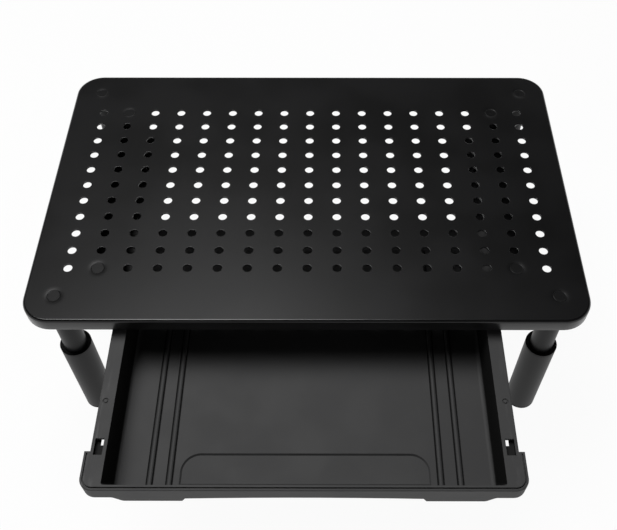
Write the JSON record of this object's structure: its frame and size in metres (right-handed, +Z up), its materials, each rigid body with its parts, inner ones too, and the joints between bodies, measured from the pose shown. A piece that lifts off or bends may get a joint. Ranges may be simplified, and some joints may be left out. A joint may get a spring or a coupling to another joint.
{
  "type": "monitor stand",
  "caption": "Perforated steel monitor stand on height-adjustable legs, with a shallow pull-out drawer beneath.",
  "frame": {"origin": "on the desk, under the middle of the platform", "axes": "+Z up, +X to the user's right along the platform's long side, the drawer opens towards -Y"},
  "size_m": [0.37, 0.3415, 0.14],
  "materials": {
    "powder_coat": "fine-texture black powder coat",
    "powder_coat_studs": "black powder coat over clinch studs",
    "tube_coat": "satin black powder coat",
    "sleeve_coat": "satin black powder coat",
    "rail_steel": "black coated folded sheet",
    "zinc_steel": "bright zinc plate",
    "spring_steel": "nickel-plated spring steel",
    "collar_plastic": "moulded black",
    "guide_plastic": "moulded black",
    "drawer_plastic": "fine-grained moulded charcoal",
    "pad_rubber": "matt rubber"
  },
  "bodies": {
    "stand_frame": {"top_panel": "powder_coat", "leg_studs": "powder_coat_studs", "rail_studs": "powder_coat_studs", "rail_nuts": "zinc_steel", "rail_left": "rail_steel", "rail_right": "rail_steel", "leg_tube_front_left": "tube_coat", "tube_plug_front_left": "zinc_steel", "tube_guide_front_left": "guide_plastic", "leg_tube_front_right": "tube_coat", "tube_plug_front_right": "zinc_steel", "tube_guide_front_right": "guide_plastic", "leg_tube_rear_left": "tube_coat", "tube_plug_rear_left": "zinc_steel", "tube_guide_rear_left": "guide_plastic", "leg_tube_rear_right": "tube_coat", "tube_plug_rear_right": "zinc_steel", "tube_guide_rear_right": "guide_plastic"},
    "drawer": {"drawer_tray": "drawer_plastic"},
    "leg_front_left": {"leg_sleeve_front_left": "sleeve_coat", "sleeve_collar_front_left": "collar_plastic", "foot_cap_front_left": "collar_plastic", "foot_pad_front_left": "pad_rubber"},
    "button_front_left": {"snap_clip_front_left": "spring_steel"},
    "leg_front_right": {"leg_sleeve_front_right": "sleeve_coat", "sleeve_collar_front_right": "collar_plastic", "foot_cap_front_right": "collar_plastic", "foot_pad_front_right": "pad_rubber"},
    "button_front_right": {"snap_clip_front_right": "spring_steel"},
    "leg_rear_left": {"leg_sleeve_rear_left": "sleeve_coat", "sleeve_collar_rear_left": "collar_plastic", "foot_cap_rear_left": "collar_plastic", "foot_pad_rear_left": "pad_rubber"},
    "button_rear_left": {"snap_clip_rear_left": "spring_steel"},
    "leg_rear_right": {"leg_sleeve_rear_right": "sleeve_coat", "sleeve_collar_rear_right": "collar_plastic", "foot_cap_rear_right": "collar_plastic", "foot_pad_rear_right": "pad_rubber"},
    "button_rear_right": {"snap_clip_rear_right": "spring_steel"}
  },
  "joints": [
    {"name": "drawer_slide", "type": "slide", "parent": "stand_frame", "child": "drawer", "axis": [0, -1, 0], "range_m": [-0.1065, 0.025]},
    {"name": "leg_slide_front_left", "type": "slide", "parent": "stand_frame", "child": "leg_front_left", "axis": [0, 0, 1], "range_m": [0, 0.04]},
    {"name": "button_press_front_left", "type": "slide", "parent": "stand_frame", "child": "button_front_left", "axis": [0, -1, 0], "range_m": [0, 0.003], "stiffness_N_per_m": 2000, "springref_m": -0.002, "deforming": ["snap_clip_front_left"]},
    {"name": "leg_slide_front_right", "type": "slide", "parent": "stand_frame", "child": "leg_front_right", "axis": [0, 0, 1], "range_m": [0, 0.04]},
    {"name": "button_press_front_right", "type": "slide", "parent": "stand_frame", "child": "button_front_right", "axis": [0, -1, 0], "range_m": [0, 0.003], "stiffness_N_per_m": 2000, "springref_m": -0.002, "deforming": ["snap_clip_front_right"]},
    {"name": "leg_slide_rear_left", "type": "slide", "parent": "stand_frame", "child": "leg_rear_left", "axis": [0, 0, 1], "range_m": [0, 0.04]},
    {"name": "button_press_rear_left", "type": "slide", "parent": "stand_frame", "child": "button_rear_left", "axis": [0, -1, 0], "range_m": [0, 0.003], "stiffness_N_per_m": 2000, "springref_m": -0.002, "deforming": ["snap_clip_rear_left"]},
    {"name": "leg_slide_rear_right", "type": "slide", "parent": "stand_frame", "child": "leg_rear_right", "axis": [0, 0, 1], "range_m": [0, 0.04]},
    {"name": "button_press_rear_right", "type": "slide", "parent": "stand_frame", "child": "button_rear_right", "axis": [0, -1, 0], "range_m": [0, 0.003], "stiffness_N_per_m": 2000, "springref_m": -0.002, "deforming": ["snap_clip_rear_right"]}
  ]
}
